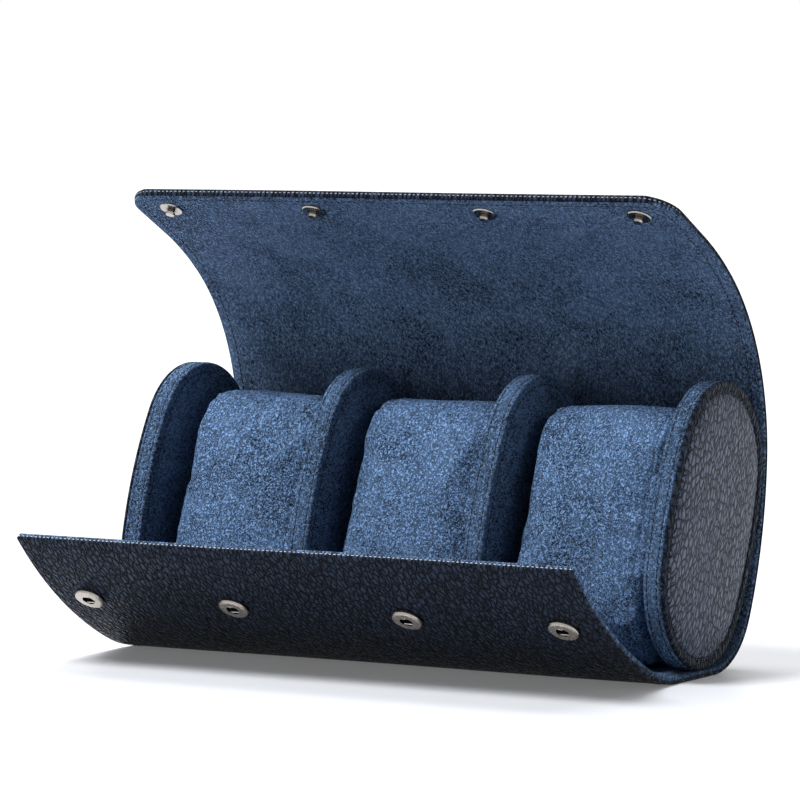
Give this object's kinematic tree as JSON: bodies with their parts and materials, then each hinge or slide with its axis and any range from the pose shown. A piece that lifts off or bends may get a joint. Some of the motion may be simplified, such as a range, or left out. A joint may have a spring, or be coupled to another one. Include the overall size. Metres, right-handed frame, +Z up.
{
  "type": "watch travel case",
  "caption": "Roll-up watch travel case: a leather wrap with a suede lining round oval ends and dividers, removable cushions, and a lid that snaps over a front flap.",
  "frame": {"origin": "on the flat underside, in the middle of the roll's length and under the middle of its oval walls", "axes": "+X along the roll, towards the right end cap; +Z up; -Y towards the open front flap"},
  "size_m": [0.255, 0.1674, 0.1893],
  "materials": {
    "wrap_leather": "satin",
    "cap_leather": "satin",
    "wrap_suede": "matte",
    "wall_suede": "matte",
    "cushion_suede": "matte",
    "wrap_board": "matte",
    "wall_board": "matte",
    "foam": "matte",
    "snap_metal": "satin",
    "spring_steel": "polished"
  },
  "bodies": {
    "case": {"base_leather": "wrap_leather", "base_board": "wrap_board", "base_lining": "wrap_suede", "left_cap_board": "wall_board", "left_cap_foam": "foam", "left_cap_leather": "cap_leather", "left_cap_band": "wall_suede", "left_cap_lining": "wall_suede", "right_cap_board": "wall_board", "right_cap_foam": "foam", "right_cap_leather": "cap_leather", "right_cap_band": "wall_suede", "right_cap_lining": "wall_suede", "divider_1_board": "wall_board", "divider_1_band": "wall_suede", "divider_1_left_face": "wall_suede", "divider_1_right_face": "wall_suede", "divider_2_board": "wall_board", "divider_2_band": "wall_suede", "divider_2_left_face": "wall_suede", "divider_2_right_face": "wall_suede"},
    "flap_1": {"flap_leather_1": "wrap_leather", "flap_board_1": "wrap_board", "flap_lining_1": "wrap_suede"},
    "flap_2": {"flap_leather_2": "wrap_leather", "flap_board_2": "wrap_board", "flap_lining_2": "wrap_suede"},
    "flap_3": {"flap_leather_3": "wrap_leather", "flap_board_3": "wrap_board", "flap_lining_3": "wrap_suede", "snap_sockets": "snap_metal", "snap_socket_springs": "spring_steel", "snap_socket_rivets": "snap_metal"},
    "lid_1": {"lid_leather_1": "wrap_leather", "lid_board_1": "wrap_board", "lid_lining_1": "wrap_suede"},
    "lid_2": {"lid_leather_2": "wrap_leather", "lid_board_2": "wrap_board", "lid_lining_2": "wrap_suede"},
    "lid_3": {"lid_leather_3": "wrap_leather", "lid_board_3": "wrap_board", "lid_lining_3": "wrap_suede"},
    "lid_4": {"lid_leather_4": "wrap_leather", "lid_board_4": "wrap_board", "lid_lining_4": "wrap_suede"},
    "lid_5": {"lid_leather_5": "wrap_leather", "lid_board_5": "wrap_board", "lid_lining_5": "wrap_suede", "snap_studs": "snap_metal", "snap_stud_rivets": "snap_metal"},
    "cushion_1": {"cushion_1_foam": "foam", "cushion_1_sleeve": "cushion_suede", "cushion_1_ends": "cushion_suede"},
    "cushion_2": {"cushion_2_foam": "foam", "cushion_2_sleeve": "cushion_suede", "cushion_2_ends": "cushion_suede"},
    "cushion_3": {"cushion_3_foam": "foam", "cushion_3_sleeve": "cushion_suede", "cushion_3_ends": "cushion_suede"}
  },
  "joints": [
    {"name": "lid_hinge_1", "type": "hinge", "parent": "case", "child": "lid_1", "pos_m": [0, 0.04552, 0.08016], "axis": [1, 0, 0], "range_deg": [0, 15.21]},
    {"name": "lid_hinge_2", "type": "hinge", "parent": "lid_1", "child": "lid_2", "pos_m": [0, 0.04258, 0.10797], "axis": [1, 0, 0], "range_deg": [0, 26.15]},
    {"name": "lid_hinge_3", "type": "hinge", "parent": "lid_2", "child": "lid_3", "pos_m": [0, 0.03133, 0.13357], "axis": [1, 0, 0], "range_deg": [0, 28.32]},
    {"name": "lid_hinge_4", "type": "hinge", "parent": "lid_3", "child": "lid_4", "pos_m": [0, 0.01284, 0.15455], "axis": [1, 0, 0], "range_deg": [0, 4.67]},
    {"name": "lid_hinge_5", "type": "hinge", "parent": "lid_4", "child": "lid_5", "pos_m": [0, -0.01076, 0.17011], "axis": [1, 0, 0], "range_deg": [0, 21.82]},
    {"name": "flap_hinge_1", "type": "hinge", "parent": "case", "child": "flap_1", "pos_m": [0, -0.03, 0.003], "axis": [-1, 0, 0], "range_deg": [0, 47.67]},
    {"name": "flap_hinge_2", "type": "hinge", "parent": "flap_1", "child": "flap_2", "pos_m": [0, -0.05224, 0.00743], "axis": [-1, 0, 0], "range_deg": [0, 7.72]},
    {"name": "flap_hinge_3", "type": "hinge", "parent": "flap_2", "child": "flap_3", "pos_m": [0, -0.0759, 0.01941], "axis": [-1, 0, 0], "range_deg": [0, 18.94]},
    {"name": "cushion_1_slide", "type": "slide", "parent": "case", "child": "cushion_1", "axis": [0, 0.9304, -0.3665], "range_m": [-0.045, 0]},
    {"name": "cushion_2_slide", "type": "slide", "parent": "case", "child": "cushion_2", "axis": [0, 0.9304, -0.3665], "range_m": [-0.045, 0]},
    {"name": "cushion_3_slide", "type": "slide", "parent": "case", "child": "cushion_3", "axis": [0, 0.9304, -0.3665], "range_m": [-0.045, 0]}
  ],
  "couplings": [
    {"joint": "lid_hinge_2", "follows": "lid_hinge_1", "ratio": 1.7174},
    {"joint": "lid_hinge_3", "follows": "lid_hinge_1", "ratio": 1.86},
    {"joint": "lid_hinge_4", "follows": "lid_hinge_1", "ratio": 0.30596},
    {"joint": "lid_hinge_5", "follows": "lid_hinge_1", "ratio": 1.4327},
    {"joint": "flap_hinge_2", "follows": "flap_hinge_1", "ratio": 0.16154},
    {"joint": "flap_hinge_3", "follows": "flap_hinge_1", "ratio": 0.39693}
  ]
}
